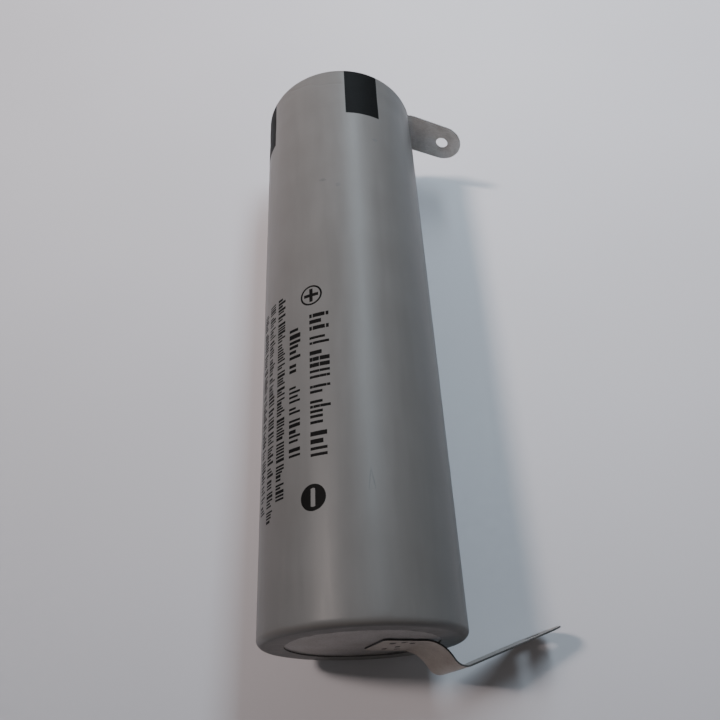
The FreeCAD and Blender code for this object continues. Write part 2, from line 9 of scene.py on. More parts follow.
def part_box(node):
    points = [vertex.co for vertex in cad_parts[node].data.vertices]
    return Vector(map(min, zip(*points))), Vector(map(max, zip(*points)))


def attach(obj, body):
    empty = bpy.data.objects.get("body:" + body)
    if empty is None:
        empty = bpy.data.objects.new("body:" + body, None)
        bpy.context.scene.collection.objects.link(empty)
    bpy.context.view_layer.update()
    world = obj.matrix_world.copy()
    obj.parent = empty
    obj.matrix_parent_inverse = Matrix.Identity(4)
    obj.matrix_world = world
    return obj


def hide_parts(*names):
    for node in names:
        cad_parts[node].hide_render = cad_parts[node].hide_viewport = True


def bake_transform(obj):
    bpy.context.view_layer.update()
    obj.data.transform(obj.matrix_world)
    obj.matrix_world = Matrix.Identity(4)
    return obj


# A grey-sleeved lithium-ion cell lying on a pale table, with a bent solder tab on each end.
# The frame is the CAD's: +Y runs to the positive end and +Z is up. Lengths are in millimetres until they
# are handed to Blender, which takes metres.

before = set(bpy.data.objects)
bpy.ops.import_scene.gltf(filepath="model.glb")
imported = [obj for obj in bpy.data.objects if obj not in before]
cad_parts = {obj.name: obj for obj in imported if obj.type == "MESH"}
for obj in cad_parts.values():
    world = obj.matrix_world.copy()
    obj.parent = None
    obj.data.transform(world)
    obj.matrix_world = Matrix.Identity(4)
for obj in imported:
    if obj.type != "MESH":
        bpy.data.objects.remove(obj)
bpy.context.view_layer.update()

MM = 0.001

# The camera stands above the negative end and looks along the cell.
CAMERA_PLACE = (0.0, -42.68, 64.87)
CAMERA_TARGET = (1.034, -3.951, 0.0)
CAMERA_ROLL = -1.23
CAMERA_LENS = 35.1
CAMERA_SENSOR = 36.0
CAMERA_CLIP = (2, 10000)

# A warm key shines from the left, and a cool strip lies flat above the table, past the positive end.
KEY_WAY = (-0.72, 0.17, 1.0)
KEY_DISTANCE = 900
KEY_TARGET = (30, 130, 0)
KEY_RADIUS = 75
KEY_CONE = 28
KEY_POWER = 50.0
KEY_COLOUR = (1.0, 0.86, 0.81)
STRIP_PLACE = (58, 165, 170)
STRIP_SIZE = (50, 270)
STRIP_POWER = 0.62
STRIP_COLOUR = (0.74, 0.89, 1.0)

# The room's own light grows from the dim colour to the bright one along this direction.
ROOM_WAY = (-0.25, 0.97, 0.0)
ROOM_DIM = (0.150, 0.138, 0.127, 1)
ROOM_BRIGHT = (0.170, 0.178, 0.195, 1)

FLOOR_SIZE = 1600

# Printed marks, as angles from straight up towards +X, in degrees, and places along the cell.
MARK_COUNT = 4
MARK_MIDDLE = 17.4
MARK_WIDTH = 25.5
MARK_START_Y = 24.4
MARK_LIP_RADIUS = 8.0
MARK_STEPS = 16
PLUS_PLACE = (-23.1, -1.3)
MINUS_PLACE = (-23.3, -22.2)
INK_THICK = 0.006

# The signs' radius, and their parts as shares of it.
SYMBOL_RADIUS = 1.18
SYMBOL_ARM = 0.66
SYMBOL_STROKE = 0.15
RING_INNER = 0.84

# Rows that stand in for print: angle, first and last place, height, stroke, gap in strokes, random seed.
PRINT_ROWS = [
    (-18.2, -3.6, -19.2, 2.00, 0.27, 0.9, 3),
    (-35.0, -4.6, -9.6, 1.35, 0.32, 0.7, 5),
    (-35.2, -11.0, -18.2, 1.30, 0.22, 0.9, 7),
    (-46.8, 0.0, -21.8, 1.15, 0.18, 0.6, 11),
    (-57.2, 0.0, -23.2, 1.15, 0.15, 0.8, 13),
    (-67.6, -0.3, -22.4, 1.15, 0.15, 0.8, 17),
]
GROUP_SIZES = (2, 7)
GROUP_GAP = 1.8
STROKE_WIDTHS = (1.0, 1.0, 1.6)
STROKE_HEIGHTS = (1.0, 1.0, 0.8, 0.62)
STROKE_GAPS = (0.9, 1.1, 1.3)

# Handling marks: smudges as (place, half sizes across and along, seed), scratches as (from, to, width).
SMUDGES = [
    ((-13.5, 13.9), 0.42, 0.20, 1.5),
    ((-3.2, 12.9), 0.26, 0.26, 2.5),
    ((25.4, 20.5), 0.32, 0.22, 3.5),
]
SCRATCHES = [
    ((8.3, -20.0), (6.7, -22.0), 0.11),
    ((8.3, -20.0), (10.3, -21.9), 0.14),
    ((6.9, -22.0), (10.2, -21.8), 0.09),
]

# Solder tabs, each one strip with its side view as in the CAD. "droop" is its angle below level, "out" the
# way its face looks along Y, "start" and "fold" the places of its square end and its fold from the cell's
# axis, "base" and "tip" its half widths. A run is a straight length, then the radius of the bend after it
# and the heading the bend turns to; the first is counted from the axis. "dents" are the weld's places.
TAB_THICK = 0.15
TAB_HOLE = 0.80
TAB_CORNER = 0.25
TABS = {
    "negative": {
        "droop": 21.5, "out": -1, "start": 1.0, "fold": 4.0, "base": 2.45, "tip": 2.85,
        "runs": [(4.83, 3.00, 56.3), (0.15, 1.35, -18.7), (8.90, None, None)],
        "dents": [(2.7, -1.6), (3.5, -0.4), (2.3, 1.2), (3.2, 1.7), (4.1, 1.4), (3.9, -1.7)],
    },
    "positive": {
        "droop": 8.5, "out": 1, "start": -2.6, "fold": 5.0, "base": 2.95, "tip": 2.55,
        "runs": [(9.00, 2.00, -20.0), (4.45, None, None)],
        "dents": [(-1.4, -1.3), (0.2, -1.4), (-1.2, 1.2), (0.5, 1.3), (1.6, -0.2), (2.6, 1.1)],
    },
}
EDGE_WEAR = 0.02

# How finely the strip is cut: over its foot, over the rest of its length and width, and round its curves.
FOOT_PITCH = 0.08
FOOT_PAST_FOLD = 1.0
ALONG_PITCH = 0.5
ACROSS_PITCH = 0.2
BEND_STEPS = 18
ROUND_STEPS = 32

# The electrode's dents, the rim thrown up round each, and the burnt patch over it.
DENT_DEPTH = 0.055
DENT_RADIUS = 0.26
RIM_HEIGHT = 0.018
RIM_RADIUS = 0.42
RIM_WIDTH = 0.12
BURN_RADIUS = 0.27
BURN_RAGGED = 0.10
BURN_WAVES = 1.7
BURN_STRETCH = 0.7


# ---------------------------------------------------------------- sizes read from the frame


def node_box(node):
    low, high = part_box(node)
    return [value / MM for value in low], [value / MM for value in high]


sleeve_low, sleeve_high = node_box("heat_shrink_sleeve")
SLEEVE_RADIUS = sleeve_high[0]
NEGATIVE_Y = sleeve_low[1]
POSITIVE_Y = sleeve_high[1]
GROUND_Z = sleeve_low[2]
FACE_Y = {
    "negative": node_box("negative_tab_foot")[1][1],
    "positive": node_box("positive_tab_foot")[0][1],
}

SLEEVE_WALL = 0.11
LIP_RADIUS = {"negative": 6.80, "positive": 7.30}
LIP_SINK = 0.02
CORNER = {"negative": 0.65, "positive": 0.90}
BEAD_Y = 28.0
BEAD_REACH = 2.08
BEAD_DIP = 0.03

# A crease in the film, through places given as (degrees, y).
CREASE = [(-52, 31.7), (-26, 30.5), (-11, 29.6), (6, 29.5)]
CREASE_DEPTH = 0.03
CREASE_WIDTH = 0.13
CREASE_FADES = (12, 5)

# The film's unevenness, as (height, scale round the cell, scale along it).
RIPPLE = (0.014, 2.2, 0.05)
FINE_RIPPLE = (0.004, 9.0, 0.25)
WRINKLE = (0.016, 11.0, 0.9)
PLEAT = (0.05, 3.2, 7.0)
FINE_PLEAT = (0.03, 9.0, 3.0)
LIP_EDGE = (0.10, 2.4, 5.0)

# Where the wrinkles grow, as (side, distance from the cell's middle, length they grow over).
WRINKLED_ENDS = [(1, 27.5, 4.0), (-1, 29.5, 3.0)]

# How finely the film is cut; the shoulder with the crease is finer.
LIP_STEPS = 12
CORNER_STEPS = 10
SIDE_STEP = 0.4
SHOULDER_STEP = 0.09
SHOULDER_FROM = 28.4
SIDE_MARGIN = 0.3
SLEEVE_SEGMENTS = 256

# The film counts as its side, where it ripples, when its normal points outwards by this much.
SIDE_FACING = 0.99


# ---------------------------------------------------------------- meshes


def mesh_piece(name, points, faces, material):
    """A smooth-shaded mesh from points in millimetres."""
    mesh = bpy.data.meshes.new(name)
    mesh.from_pydata([Vector(point) * MM for point in points], [], faces)
    mesh.validate()
    mesh.materials.append(material)
    piece = bpy.data.objects.new(name, mesh)
    bpy.context.scene.collection.objects.link(piece)
    fix_normals(mesh)
    mesh.polygons.foreach_set("use_smooth", [True] * len(mesh.polygons))
    return piece


def fix_normals(mesh):
    shape = bmesh.new()
    shape.from_mesh(mesh)
    bmesh.ops.recalc_face_normals(shape, faces=shape.faces)
    shape.to_mesh(mesh)
    shape.free()


def sharpen(piece, angle):
    """Shade edges steeper than the angle as sharp."""
    piece.data.set_sharp_from_angle(angle=math.radians(angle))


def apply_modifiers(piece):
    """Replace a piece's mesh by what its modifiers make of it."""
    graph = bpy.context.evaluated_depsgraph_get()
    made = bpy.data.meshes.new_from_object(piece.evaluated_get(graph))
    piece.modifiers.clear()
    piece.data = made


# ---------------------------------------------------------------- materials


def new_material(name):
    material = bpy.data.materials.new(name)
    material.use_nodes = True
    return material, material.node_tree, material.node_tree.nodes["Principled BSDF"]


def add_node(tree, kind, **values):
    """A shader node with some of its properties and inputs set by name."""
    node = tree.nodes.new(kind)
    for key, value in values.items():
        if hasattr(node, key):
            setattr(node, key, value)
        else:
            node.inputs[key.replace("_", " ")].default_value = value
    return node


def object_place(tree, stretch=(1, 1, 1)):
    """Coordinates in millimetres, stretched by the given factors."""
    coordinates = add_node(tree, "ShaderNodeTexCoord")
    mapping = add_node(tree, "ShaderNodeMapping")
    mapping.inputs["Scale"].default_value = [factor / MM for factor in stretch]
    tree.links.new(coordinates.outputs["Object"], mapping.inputs["Vector"])
    return mapping.outputs["Vector"]


def noise_value(tree, place, scale, detail, roughness=0.5):
    texture = add_node(tree, "ShaderNodeTexNoise", Scale=scale, Detail=detail, Roughness=roughness)
    tree.links.new(place, texture.inputs["Vector"])
    return texture.outputs["Fac"]


def ramp(tree, value, stops):
    """A colour ramp from (position, colour) stops."""
    node = add_node(tree, "ShaderNodeValToRGB")
    elements = node.color_ramp.elements
    elements[0].position, elements[0].color = stops[0]
    elements[1].position, elements[1].color = stops[-1]
    for position, colour in stops[1:-1]:
        elements.new(position).color = colour
    tree.links.new(value, node.inputs["Fac"])
    return node.outputs["Color"]


def level(tree, value, low, high, start=0.3, stop=0.7):
    """Spread a value between two levels."""
    node = add_node(tree, "ShaderNodeMapRange")
    for key, number in (("From Min", start), ("From Max", stop), ("To Min", low), ("To Max", high)):
        node.inputs[key].default_value = number
    tree.links.new(value, node.inputs["Value"])
    return node.outputs["Result"]


def mix(tree, factor, first, second, blend="MIX"):
    node = add_node(tree, "ShaderNodeMix", data_type="RGBA", blend_type=blend)
    tree.links.new(factor, node.inputs["Factor"])
    for value, socket in ((first, node.inputs[6]), (second, node.inputs[7])):
        if isinstance(value, tuple):
            socket.default_value = value
        else:
            tree.links.new(value, socket)
    return node.outputs[2]


def bump(tree, shader, layers):
    """Stack bumps, each a height, its strength and its depth in millimetres."""
    normal = None
    for height, strength, depth in layers:
        node = add_node(tree, "ShaderNodeBump", Strength=strength, Distance=depth * MM)
        tree.links.new(height, node.inputs["Height"])
        if normal:
            tree.links.new(normal, node.inputs["Normal"])
        normal = node.outputs["Normal"]
    tree.links.new(normal, shader.inputs["Normal"])


def grey(tone, warm=0.0):
    return (tone * (1 + warm), tone, tone * (1 - warm), 1.0)


def sleeve_material():
    """Semi-gloss grey shrink film: faint blotches, fine orange peel and a few hairline scratches."""
    material, tree, shader = new_material("grey_sleeve")
    place = object_place(tree)
    along = object_place(tree, (1, 0.12, 1))
    blotch = noise_value(tree, place, 0.16, 4.0)
    streak = noise_value(tree, along, 0.9, 3.0)
    peel = noise_value(tree, place, 2.6, 2.0)
    speck = noise_value(tree, place, 7.0, 5.0, 0.7)
    base = ramp(tree, blotch, [(0.30, grey(0.112, 0.03)), (0.70, grey(0.126, 0.02))])
    streaked = ramp(tree, streak, [(0.35, grey(0.93)), (0.65, grey(1.0))])
    base = mix(tree, level(tree, blotch, 0.5, 1.0), base, streaked, "MULTIPLY")
    dust = level(tree, speck, 0.0, 1.0, 0.72, 0.80)
    base = mix(tree, dust, base, grey(0.20))
    tree.links.new(base, shader.inputs["Base Color"])
    tree.links.new(level(tree, streak, 0.36, 0.44), shader.inputs["Roughness"])
    shader.inputs["Specular IOR Level"].default_value = 0.22
    bump(tree, shader, [(streak, 0.25, 0.02), (peel, 0.25, 0.01), (speck, 0.2, 0.004)])
    return material


def ink_material():
    """Black print, a little worn and slightly glossier than the film."""
    material, tree, shader = new_material("black_ink")
    place = object_place(tree)
    wear = noise_value(tree, place, 3.5, 6.0, 0.7)
    fine = noise_value(tree, place, 9.0, 3.0)
    tree.links.new(
        ramp(tree, wear, [(0.35, grey(0.003)), (0.62, grey(0.004)), (0.80, grey(0.012))]),
        shader.inputs["Base Color"],
    )
    tree.links.new(level(tree, fine, 0.50, 0.62), shader.inputs["Roughness"])
    shader.inputs["Specular IOR Level"].default_value = 0.06
    bump(tree, shader, [(fine, 0.3, 0.004)])
    return material


def nickel_material(name, tone, brushed, roughness, warm=0.02):
    """Nickel or nickel plate: rolling lines along one direction, tarnish and handling marks."""
    material, tree, shader = new_material(name)
    place = object_place(tree)
    lines = object_place(tree, brushed)
    grain = noise_value(tree, lines, 6.0, 4.0, 0.6)
    stain = noise_value(tree, place, 0.45, 5.0, 0.6)
    scuff = noise_value(tree, place, 5.0, 6.0, 0.7)
    tarnish = [
        (0.30, grey(tone * 0.80, warm + 0.02)),
        (0.55, grey(tone, warm)),
        (0.75, grey(tone * 1.08, warm - 0.02)),
    ]
    base = ramp(tree, stain, tarnish)
    shade = ramp(tree, grain, [(0.30, grey(0.86)), (0.70, grey(1.0))])
    base = mix(tree, level(tree, scuff, 0.6, 1.0), base, shade, "MULTIPLY")
    tree.links.new(base, shader.inputs["Base Color"])
    shader.inputs["Metallic"].default_value = 1.0
    tree.links.new(level(tree, scuff, roughness - 0.06, roughness + 0.12), shader.inputs["Roughness"])
    bump(tree, shader, [(grain, 0.35, 0.006), (scuff, 0.2, 0.004)])
    return material


def fibre_material():
    """Off-white pressed fibre."""
    material, tree, shader = new_material("white_fibre")
    place = object_place(tree)
    strands = object_place(tree, (1, 1, 0.25))
    fluff = noise_value(tree, strands, 9.0, 6.0, 0.7)
    cloud = noise_value(tree, place, 0.8, 3.0)
    base = ramp(tree, cloud, [(0.35, (0.62, 0.60, 0.54, 1)), (0.65, (0.72, 0.70, 0.65, 1))])
    base = mix(tree, level(tree, fluff, 0.0, 0.5), base, grey(0.55, 0.05))
    tree.links.new(base, shader.inputs["Base Color"])
    shader.inputs["Roughness"].default_value = 0.85
    bump(tree, shader, [(fluff, 0.6, 0.02)])
    return material


def plain_material(name, low, high, roughness, metallic=0.0):
    """A quiet finish for the inner pieces, with mottling and a fine tooth."""
    material, tree, shader = new_material(name)
    place = object_place(tree)
    mottle = noise_value(tree, place, 1.2, 4.0)
    tooth = noise_value(tree, place, 7.2, 4.0, 0.6)
    tree.links.new(ramp(tree, mottle, [(0.3, low), (0.7, high)]), shader.inputs["Base Color"])
    tree.links.new(level(tree, tooth, roughness - 0.05, roughness + 0.08), shader.inputs["Roughness"])
    shader.inputs["Metallic"].default_value = metallic
    bump(tree, shader, [(tooth, 0.3, 0.006)])
    return material


def floor_material():
    """Pale matt table with very faint mottling."""
    material, tree, shader = new_material("pale_floor")
    place = object_place(tree)
    cloud = noise_value(tree, place, 0.02, 2.0)
    grain = noise_value(tree, place, 1.2, 4.0)
    base = ramp(tree, cloud, [(0.3, (0.470, 0.465, 0.494, 1)), (0.7, (0.500, 0.495, 0.524, 1))])
    tree.links.new(base, shader.inputs["Base Color"])
    tree.links.new(level(tree, grain, 0.50, 0.60), shader.inputs["Roughness"])
    bump(tree, shader, [(grain, 0.12, 0.02)])
    return material


SLEEVE = sleeve_material()
INK = ink_material()
SCUFF = plain_material("scuffed_film", grey(0.070), grey(0.095), 0.5)
CAN_STEEL = nickel_material("can_steel", 0.32, (1, 1, 1), 0.36)
# One nickel in two tones: the negative tab is darkened and warmed as painted shade, and the positive tab
# is lightened as painted light.
TAB_NICKEL_PAINTED_TONES = {
    "negative": nickel_material("negative_nickel_painted_shade", 0.38, (0.15, 1, 1), 0.40, 0.10),
    "positive": nickel_material("positive_nickel_painted_light", 0.80, (0.15, 1, 1), 0.60, 0.05),
}
# Near black for the strip's sheared edges: painted shade, for the dark lines along them.
EDGE_PAINTED_SHADE = plain_material("painted_shade_edge", grey(0.030), grey(0.055), 0.5)
WELD_BURN = plain_material("weld_burn", grey(0.030, 0.06), grey(0.070, 0.06), 0.55)
FIBRE = fibre_material()


# ---------------------------------------------------------------- sleeve


def smooth_step(value):
    value = min(max(value, 0.0), 1.0)
    return value * value * (3 - 2 * value)


def end_profile(end, sign, face):
    """One end's outer line, from the lip's inner edge to the side."""
    corner = CORNER[end]
    flat_to = SLEEVE_RADIUS - corner
    line = []
    for step in range(LIP_STEPS + 1):
        share = step / LIP_STEPS
        radius = LIP_RADIUS[end] + (flat_to - LIP_RADIUS[end]) * share
        line.append((radius, face, 0.0, sign, 1 - share))
    for step in range(1, CORNER_STEPS + 1):
        turn = math.radians(90 * step / CORNER_STEPS)
        radius = flat_to + corner * math.sin(turn)
        y = face - sign * corner * (1 - math.cos(turn))
        line.append((radius, y, math.sin(turn), sign * math.cos(turn), 0.0))
    return line


def side_sample(y):
    return (SLEEVE_RADIUS, y, 1.0, 0.0, 0.0)


def sleeve_profile():
    """The film's outer line from lip to lip, as (radius, y, normal radius, normal y, lip share)."""
    near = end_profile("negative", -1, NEGATIVE_Y)
    far = end_profile("positive", 1, POSITIVE_Y)
    side = []
    y = near[-1][1]
    while y < far[-1][1] - SIDE_MARGIN:
        y += SHOULDER_STEP if y > SHOULDER_FROM else SIDE_STEP
        side.append(side_sample(y))
    return near + side + far[::-1]


def crease_depth(angle, y):
    """A fine crease that wanders round part of the positive shoulder."""
    turn = (math.degrees(angle) + 180) % 360 - 180
    if not CREASE[0][0] < turn < CREASE[-1][0]:
        return 0.0
    for (first, first_y), (last, last_y) in zip(CREASE, CREASE[1:]):
        if first <= turn <= last:
            middle = first_y + (last_y - first_y) * smooth_step((turn - first) / (last - first))
            break
    first_fade = smooth_step((turn - CREASE[0][0]) / CREASE_FADES[0])
    last_fade = smooth_step((CREASE[-1][0] - turn) / CREASE_FADES[1])
    return CREASE_DEPTH * first_fade * last_fade * math.exp(-((y - middle) / CREASE_WIDTH) ** 2)


def film_noise(angle, y, wave):
    """Unevenness of a given height and scales."""
    height, around, along = wave
    return height * noise.noise(Vector((math.sin(angle) * around, y * along, math.cos(angle) * around)))


def film_offset(angle, y):
    """How far the film stands off its ideal shape: ripples, the bead's dip, shoulder wrinkles."""
    dip = BEAD_DIP * (1 - smooth_step(abs(y - BEAD_Y) / BEAD_REACH))
    shoulder = sum(smooth_step((side * y - start) / grows) for side, start, grows in WRINKLED_ENDS)
    waves = film_noise(angle, y, RIPPLE) + film_noise(angle, y, FINE_RIPPLE)
    waves += shoulder * film_noise(angle, y, WRINKLE)
    return waves - dip - crease_depth(angle, y)


def lip_lift(angle, lip, sign):
    """Pleats of the lip, which grow towards its inner edge."""
    return lip * lip * (film_noise(angle, sign, PLEAT) + film_noise(angle, sign, FINE_PLEAT))


def film_point(sample, angle, lift):
    """A point of the sleeve's outer surface, lifted off along its normal."""
    radius, y, out_radius, out_y, lip = sample
    if out_radius > SIDE_FACING:
        radius += out_radius * (lift + film_offset(angle, y))
    else:
        radius += out_radius * lift
        y += out_y * lift
    if lip > 0:
        sign = 1 if out_y > 0 else -1
        radius += lip * film_noise(angle, sign, LIP_EDGE)
        y += sign * (lip_lift(angle, lip, sign) - LIP_SINK * lip)
    return Vector((radius * math.sin(angle), y, radius * math.cos(angle)))


def make_sleeve():
    """A closed film: outer skin, rolled lip edges and inner skin."""
    profile = sleeve_profile()
    angles = [2 * math.pi * step / SLEEVE_SEGMENTS for step in range(SLEEVE_SEGMENTS)]
    rows = [[film_point(sample, angle, 0.0) for angle in angles] for sample in profile]
    rows += [[film_point(sample, angle, -SLEEVE_WALL) for angle in angles] for sample in reversed(profile)]
    points = [point for row in rows for point in row]
    faces = []
    for row in range(len(rows)):
        near = row * SLEEVE_SEGMENTS
        far = (row + 1) % len(rows) * SLEEVE_SEGMENTS
        for step in range(SLEEVE_SEGMENTS):
            beside = (step + 1) % SLEEVE_SEGMENTS
            faces.append((near + step, near + beside, far + beside, far + step))
    piece = mesh_piece("sleeve_film", points, faces, SLEEVE)
    sharpen(piece, 50)
    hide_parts("heat_shrink_sleeve")
    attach(piece, "cell")


# ---------------------------------------------------------------- print


def surface_point(place, across, along):
    """A sample and angle of the film, at a distance from a place given as (degrees, y)."""
    return side_sample(place[1] + along), math.radians(place[0]) + across / SLEEVE_RADIUS


def ink_patch(grid):
    """Points and faces of a thin slab of ink over a grid of (profile sample, angle)."""
    rows, columns = len(grid), len(grid[0])
    points = []
    for lift in (INK_THICK, -INK_THICK):
        for row in grid:
            points += [film_point(sample, angle, lift) for sample, angle in row]
    half = rows * columns

    def corner(row, column, layer):
        return layer * half + row * columns + column

    faces = []
    for row in range(rows - 1):
        for column in range(columns - 1):
            quad = [(row, column), (row, column + 1), (row + 1, column + 1), (row + 1, column)]
            faces.append([corner(r, c, 0) for r, c in quad])
            faces.append([corner(r, c, 1) for r, c in reversed(quad)])
    rim = [(0, c) for c in range(columns)] + [(r, columns - 1) for r in range(1, rows)]
    rim += [(rows - 1, c) for c in range(columns - 2, -1, -1)] + [(r, 0) for r in range(rows - 2, 0, -1)]
    for step, place in enumerate(rim):
        following = rim[(step + 1) % len(rim)]
        faces.append([corner(*place, 0), corner(*place, 1), corner(*following, 1), corner(*following, 0)])
    return points, faces


def ink_piece(name, patches, material=INK):
    """One piece of several thin slabs."""
    points, faces = [], []
    for patch_points, patch_faces in patches:
        shift = len(points)
        points += patch_points
        faces += [[index + shift for index in face] for face in patch_faces]
    piece = mesh_piece(name, points, faces, material)
    sharpen(piece, 40)
    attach(piece, "cell")


def between(span, share):
    return span[0] + (span[1] - span[0]) * share


def flat_patch(middle, span_across, span_along, steps_across=4, steps_along=4):
    """A rectangle of ink at a place given as (degrees, y), by its spans in millimetres on the surface."""
    grid = []
    for row in range(steps_along + 1):
        along = between(span_along, row / steps_along)
        places = [between(span_across, column / steps_across) for column in range(steps_across + 1)]
        grid.append([surface_point(middle, across, along) for across in places])
    return ink_patch(grid)


def make_end_marks():
    """Black rectangles round the positive end, running over its edge on to the lip."""
    profile = [side_sample(MARK_START_Y)]
    for sample in sleeve_profile():
        if sample[1] > MARK_START_Y and sample[0] > MARK_LIP_RADIUS:
            profile.append(sample)
    for number in range(MARK_COUNT):
        middle = MARK_MIDDLE + number * 360 / MARK_COUNT
        angles = [middle + MARK_WIDTH * (step / MARK_STEPS - 0.5) for step in range(MARK_STEPS + 1)]
        grid = [[(sample, math.radians(angle)) for angle in angles] for sample in profile]
        ink_piece("end_mark_%d" % (number + 1), [ink_patch(grid)])


def ring_patch(middle, inner, outer):
    """A ring of ink, as short slabs joined end to end."""
    steps = 40
    grid = []
    for step in range(steps + 1):
        turn = 2 * math.pi * step / steps
        radii = (inner, (inner + outer) / 2, outer)
        grid.append([surface_point(middle, r * math.cos(turn), r * math.sin(turn)) for r in radii])
    return ink_patch(grid)


def disc_with_bar(middle, radius, bar_half_length, bar_half_width):
    """A filled disc with a bar left out of it; the bar lies along the cell."""
    columns, steps = 48, 6
    patches = []
    for side in (-1, 1):
        grid = []
        for column in range(columns + 1):
            along = -radius * math.cos(math.pi * column / columns)
            reach = math.sqrt(max(radius ** 2 - along ** 2, 0))
            near = min(bar_half_width, reach) if abs(along) < bar_half_length else 0.0
            places = [side * between((near, reach), step / steps) for step in range(steps + 1)]
            grid.append([surface_point(middle, across, along) for across in places])
        patches.append(ink_patch(grid))
    return patches


def make_symbols():
    """The polarity signs: a plus in a ring, and a minus left out of a disc."""
    arm = SYMBOL_ARM * SYMBOL_RADIUS
    half = SYMBOL_STROKE * SYMBOL_RADIUS
    plus = [
        ring_patch(PLUS_PLACE, RING_INNER * SYMBOL_RADIUS, SYMBOL_RADIUS),
        flat_patch(PLUS_PLACE, (-arm, arm), (-half, half)),
        flat_patch(PLUS_PLACE, (-half, half), (-arm, -half)),
        flat_patch(PLUS_PLACE, (-half, half), (half, arm)),
    ]
    ink_piece("plus_sign", plus)
    ink_piece("minus_sign", disc_with_bar(MINUS_PLACE, SYMBOL_RADIUS, arm, 1.2 * half))


def make_print_row(name, middle, start, stop, height, stroke, spread, seed):
    """A row of plain upright strokes in groups, which stands in for a line of small print."""
    rng = random.Random(seed)
    low = -height / 2
    patches = []
    y = start
    while y > stop:
        for _ in range(rng.randint(*GROUP_SIZES)):
            width = stroke * rng.choice(STROKE_WIDTHS)
            tall = height * rng.choice(STROKE_HEIGHTS)
            if y - width < stop:
                break
            patches.append(flat_patch((middle, y), (low, low + tall), (-width, 0.0), 3, 1))
            y -= width + spread * stroke * rng.choice(STROKE_GAPS)
        y -= spread * stroke * GROUP_GAP
    ink_piece(name, patches)


def make_print():
    make_symbols()
    for number, row in enumerate(PRINT_ROWS, 1):
        make_print_row("print_row_%d" % number, *row)


# ---------------------------------------------------------------- scuffs


def scuff_patch(place, half_across, half_along, seed):
    """A smudge with a ragged outline."""
    rows, columns = 6, 4
    grid = []
    for row in range(rows + 1):
        along = 2 * row / rows - 1
        reach = math.sqrt(max(1 - along * along, 0.0)) * (1 + 0.5 * noise.noise(Vector((seed, row, 0))))
        shift = 0.3 * noise.noise(Vector((seed, row, 5)))
        places = [shift + reach * (2 * column / columns - 1) for column in range(columns + 1)]
        grid.append([surface_point(place, half_across * across, half_along * along) for across in places])
    return ink_patch(grid)


def scratch_patch(start, stop, width):
    """A thin straight mark between two places on the film, narrower at its ends."""
    steps = 6
    grid = []
    for step in range(steps + 1):
        share = step / steps
        place = [between(span, share) for span in zip(start, stop)]
        half = width / 2 * (1 - 0.6 * abs(2 * share - 1))
        grid.append([surface_point(place, side, 0.0) for side in (-half, half)])
    return ink_patch(grid)


def make_scuffs():
    """Handling marks on the film's upper side."""
    patches = [scuff_patch(*smudge) for smudge in SMUDGES]
    patches += [scratch_patch(*scratch) for scratch in SCRATCHES]
    ink_piece("scuffs", patches, SCUFF)


# ---------------------------------------------------------------- solder tabs


def strip_runs(tab):
    """The strip's runs, with the first one's length counted from the square end."""
    first, radius, turn_to = tab["runs"][0]
    return [(first - tab["start"], radius, turn_to)] + tab["runs"][1:]


def strip_place(tab, length):
    """The strip's middle line at a length along it: (along, height out of the face, heading)."""
    along, out, heading = tab["start"], TAB_THICK / 2, 0.0
    left = length
    for run, radius, turn_to in strip_runs(tab):
        step = left if radius is None else min(left, run)
        along += step * math.cos(heading)
        out += step * math.sin(heading)
        left -= step
        if radius is None or left <= 0:
            break
        target = math.radians(turn_to)
        swing = 1 if target > heading else -1
        arc = min(left, radius * abs(target - heading))
        after = heading + swing * arc / radius
        along += swing * radius * (math.sin(after) - math.sin(heading))
        out -= swing * radius * (math.cos(after) - math.cos(heading))
        heading = after
        left -= arc
    return along, out, heading


def strip_length(tab):
    """Length along the strip from its square end to the hole, and the bends' places along it."""
    total, heading, bends = 0.0, 0.0, []
    for run, radius, turn_to in strip_runs(tab):
        total += run
        if radius is None:
            break
        target = math.radians(turn_to)
        arc = radius * abs(target - heading)
        bends.append((total, total + arc))
        total += arc
        heading = target
    return total, bends


def strip_outline(tab, hole_at):
    """The flat strip's outline: square end with small cut corners, tapered sides, round tip."""
    base, tip = tab["base"], tab["tip"]
    outline = [Vector((TAB_CORNER, -base, 0)), Vector((hole_at, -tip, 0))]
    for step in range(1, ROUND_STEPS):
        turn = math.radians(-90 + 180 * step / ROUND_STEPS)
        outline.append(Vector((hole_at + tip * math.cos(turn), tip * math.sin(turn), 0)))
    outline += [Vector((hole_at, tip, 0)), Vector((TAB_CORNER, base, 0))]
    outline += [Vector((0, base - TAB_CORNER, 0)), Vector((0, -base + TAB_CORNER, 0))]
    return outline


def hole_outline(hole_at):
    turns = [2 * math.pi * step / ROUND_STEPS for step in range(ROUND_STEPS)]
    return [Vector((hole_at + TAB_HOLE * math.cos(turn), TAB_HOLE * math.sin(turn), 0)) for turn in turns]


